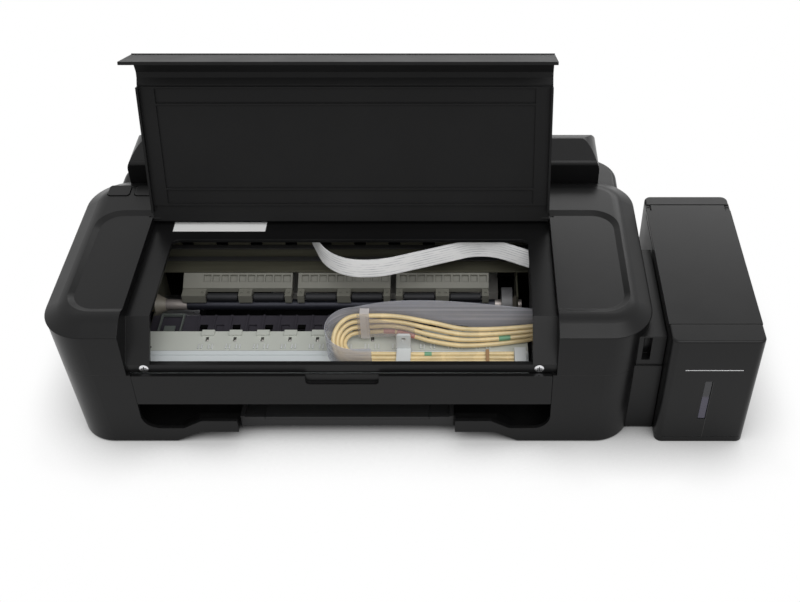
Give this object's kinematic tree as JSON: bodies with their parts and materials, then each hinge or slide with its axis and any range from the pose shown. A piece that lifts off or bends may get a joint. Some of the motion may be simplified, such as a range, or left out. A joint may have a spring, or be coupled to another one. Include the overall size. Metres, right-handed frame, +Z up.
{
  "type": "inkjet printer",
  "caption": "Compact desktop inkjet printer with a hinged top cover open on its carriage, rollers and ink tubes, a rear sheet feeder, a front tray and an ink-tank unit hung on its side.",
  "frame": {"origin": "middle of the footprint on the surface that it stands on", "axes": "+X to the user's right along the printer's width, +Y to the back, +Z up"},
  "size_m": [0.482, 0.222, 0.2307],
  "materials": {
    "case_black": "satin",
    "cover_black": "satin",
    "tray_black": "matte",
    "screw_steel": "polished",
    "foot_rubber": "matte",
    "frame_steel": "matte",
    "roller_steel": "brushed",
    "bush_plastic": "satin",
    "platen_grey": "matte",
    "white_plastic": "satin",
    "guide_beige": "satin",
    "roller_rubber": "matte",
    "motor_metal": "satin",
    "brass": "polished",
    "belt_rubber": "matte",
    "strip_film": "gloss",
    "cable_white": "gloss",
    "tube_cream": "gloss",
    "film_clear": "gloss",
    "carriage_black": "satin",
    "head_metal": "satin",
    "seal_rubber": "matte",
    "pad_felt": "felt",
    "supply_case": "matte",
    "board_green": "satin",
    "window_clear": "clear",
    "tank_clear": "translucent",
    "cap_black": "matte",
    "cap_cyan": "matte",
    "cap_magenta": "matte",
    "cap_yellow": "matte",
    "gear_plastic": "satin",
    "wheel_grey": "satin"
  },
  "bodies": {
    "base": {"lower_case": "case_black", "front_panel": "case_black", "case_screws": "screw_steel", "upper_case": "case_black", "button_board": "board_green", "rear_housing": "case_black", "tank_bracket": "case_black", "feet": "foot_rubber", "main_frame": "frame_steel", "feed_bushes": "bush_plastic", "platen": "platen_grey", "eject_frame": "white_plastic", "paper_guide_left": "guide_beige", "paper_guide_middle": "guide_beige", "paper_guide_right": "guide_beige", "feed_motor": "motor_metal", "carriage_motor": "motor_metal", "carriage_belt": "belt_rubber", "encoder_strip": "strip_film", "head_cable": "cable_white", "ink_tubes": "tube_cream", "tube_guide_film": "film_clear", "tube_clips": "white_plastic", "cap_station": "supply_case", "cap_seal": "seal_rubber", "waste_ink_pad": "pad_felt", "power_supply": "supply_case", "main_board": "board_green"},
    "cover": {"top_cover": "cover_black"},
    "power_key": {"power_button": "case_black"},
    "paper_key": {"paper_button": "case_black"},
    "guard": {"feeder_guard": "case_black"},
    "support": {"paper_support": "tray_black"},
    "support_leaf": {"support_extension": "tray_black"},
    "side_guide": {"edge_guide": "tray_black"},
    "tray": {"output_tray": "tray_black"},
    "tray_leaf": {"tray_extension": "tray_black"},
    "tank_unit": {"tank_case": "case_black", "tank_window": "window_clear", "ink_tanks": "tank_clear"},
    "tank_lid": {"tank_cover": "case_black"},
    "carriage": {"carriage_body": "carriage_black", "print_head": "head_metal"},
    "drive_wheel": {"drive_pulley": "brass"},
    "idle_wheel": {"idler_pulley": "gear_plastic"},
    "feed": {"feed_roller": "roller_steel", "feed_gear": "gear_plastic", "transfer_gear": "wheel_grey"},
    "idler": {"idler_gear": "gear_plastic"},
    "eject": {"eject_shaft": "roller_steel", "eject_rollers": "roller_rubber", "eject_gear": "gear_plastic"},
    "pinion": {"motor_pinion": "brass"},
    "pinch": {"pinch_rollers": "roller_rubber"},
    "stars": {"star_wheels": "roller_steel"},
    "pickup": {"pickup_roller": "roller_rubber"},
    "cap_black": {"tank_cap_black": "cap_black"},
    "cap_cyan": {"tank_cap_cyan": "cap_cyan"},
    "cap_magenta": {"tank_cap_magenta": "cap_magenta"},
    "cap_yellow": {"tank_cap_yellow": "cap_yellow"}
  },
  "joints": [
    {"name": "cover_hinge", "type": "hinge", "parent": "base", "child": "cover", "pos_m": [-0.0405, 0.0175, 0.1009], "axis": [1, 0, 0], "range_deg": [0, 107]},
    {"name": "power_press", "type": "slide", "parent": "base", "child": "power_key", "axis": [0, 0, -1], "range_m": [0, 0.0015], "stiffness_N_per_m": 300},
    {"name": "paper_press", "type": "slide", "parent": "base", "child": "paper_key", "axis": [0, 0, -1], "range_m": [0, 0.0015], "stiffness_N_per_m": 300},
    {"name": "guard_hinge", "type": "hinge", "parent": "base", "child": "guard", "pos_m": [-0.0405, 0.0752, 0.12081], "axis": [1, 0, 0], "range_deg": [0, 105]},
    {"name": "support_slide", "type": "slide", "parent": "base", "child": "support", "axis": [0, 0.2588, 0.9659], "range_m": [0, 0.045]},
    {"name": "support_leaf_slide", "type": "slide", "parent": "support", "child": "support_leaf", "axis": [0, 0.2588, 0.9659], "range_m": [0, 0.05]},
    {"name": "side_guide_slide", "type": "slide", "parent": "base", "child": "side_guide", "axis": [1, 0, 0], "range_m": [0, 0.05]},
    {"name": "tray_slide", "type": "slide", "parent": "base", "child": "tray", "axis": [0, -1, 0], "range_m": [0, 0.09]},
    {"name": "tray_leaf_slide", "type": "slide", "parent": "tray", "child": "tray_leaf", "axis": [0, -1, 0], "range_m": [0, 0.08]},
    {"name": "tank_lift", "type": "slide", "parent": "base", "child": "tank_unit", "axis": [0, 0, 1], "range_m": [0, 0.012]},
    {"name": "tank_lid_hinge", "type": "hinge", "parent": "tank_unit", "child": "tank_lid", "pos_m": [0.20975, 0.0318, 0.0982], "axis": [-1, 0, 0], "range_deg": [0, 100]},
    {"name": "carriage_slide", "type": "slide", "parent": "base", "child": "carriage", "axis": [-1, 0, 0], "range_m": [0, 0.24], "deforming": ["head_cable", "ink_tubes", "tube_guide_film"]},
    {"name": "drive_spin", "type": "hinge", "parent": "base", "child": "drive_wheel", "pos_m": [0.1455, 0.0153, 0.069], "axis": [0, 1, 0], "continuous": true},
    {"name": "idle_spin", "type": "hinge", "parent": "base", "child": "idle_wheel", "pos_m": [-0.1905, 0.0153, 0.069], "axis": [0, 1, 0], "continuous": true},
    {"name": "feed_spin", "type": "hinge", "parent": "base", "child": "feed", "pos_m": [-0.0405, -0.013, 0.042], "axis": [1, 0, 0], "continuous": true},
    {"name": "idler_spin", "type": "hinge", "parent": "base", "child": "idler", "pos_m": [-0.2075, -0.0415, 0.04077], "axis": [1, 0, 0], "continuous": true},
    {"name": "eject_spin", "type": "hinge", "parent": "base", "child": "eject", "pos_m": [-0.0405, -0.064, 0.0398], "axis": [1, 0, 0], "continuous": true},
    {"name": "pinion_spin", "type": "hinge", "parent": "base", "child": "pinion", "pos_m": [-0.2075, 0.00266, 0.02122], "axis": [1, 0, 0], "continuous": true},
    {"name": "pinch_spin", "type": "hinge", "parent": "base", "child": "pinch", "pos_m": [-0.0405, -0.0125, 0.0493], "axis": [1, 0, 0], "continuous": true},
    {"name": "star_spin", "type": "hinge", "parent": "base", "child": "stars", "pos_m": [-0.0405, -0.064, 0.0501], "axis": [1, 0, 0], "continuous": true},
    {"name": "pickup_spin", "type": "hinge", "parent": "base", "child": "pickup", "pos_m": [-0.0405, 0.045, 0.062], "axis": [1, 0, 0], "continuous": true},
    {"name": "cap_black_pull", "type": "slide", "parent": "tank_unit", "child": "cap_black", "axis": [0, 0, 1], "range_m": [0, 0.008]},
    {"name": "cap_cyan_pull", "type": "slide", "parent": "tank_unit", "child": "cap_cyan", "axis": [0, 0, 1], "range_m": [0, 0.008]},
    {"name": "cap_magenta_pull", "type": "slide", "parent": "tank_unit", "child": "cap_magenta", "axis": [0, 0, 1], "range_m": [0, 0.008]},
    {"name": "cap_yellow_pull", "type": "slide", "parent": "tank_unit", "child": "cap_yellow", "axis": [0, 0, 1], "range_m": [0, 0.008]}
  ],
  "couplings": [
    {"joint": "drive_spin", "follows": "carriage_slide", "rad_per_m": 188.68},
    {"joint": "idle_spin", "follows": "carriage_slide", "rad_per_m": 188.68},
    {"joint": "idler_spin", "follows": "feed_spin", "ratio": -2.3529},
    {"joint": "eject_spin", "follows": "feed_spin", "ratio": 1.4286},
    {"joint": "pinion_spin", "follows": "feed_spin", "ratio": -3.3333},
    {"joint": "pinch_spin", "follows": "feed_spin", "ratio": -1.3333},
    {"joint": "star_spin", "follows": "feed_spin", "ratio": -1.4286}
  ]
}
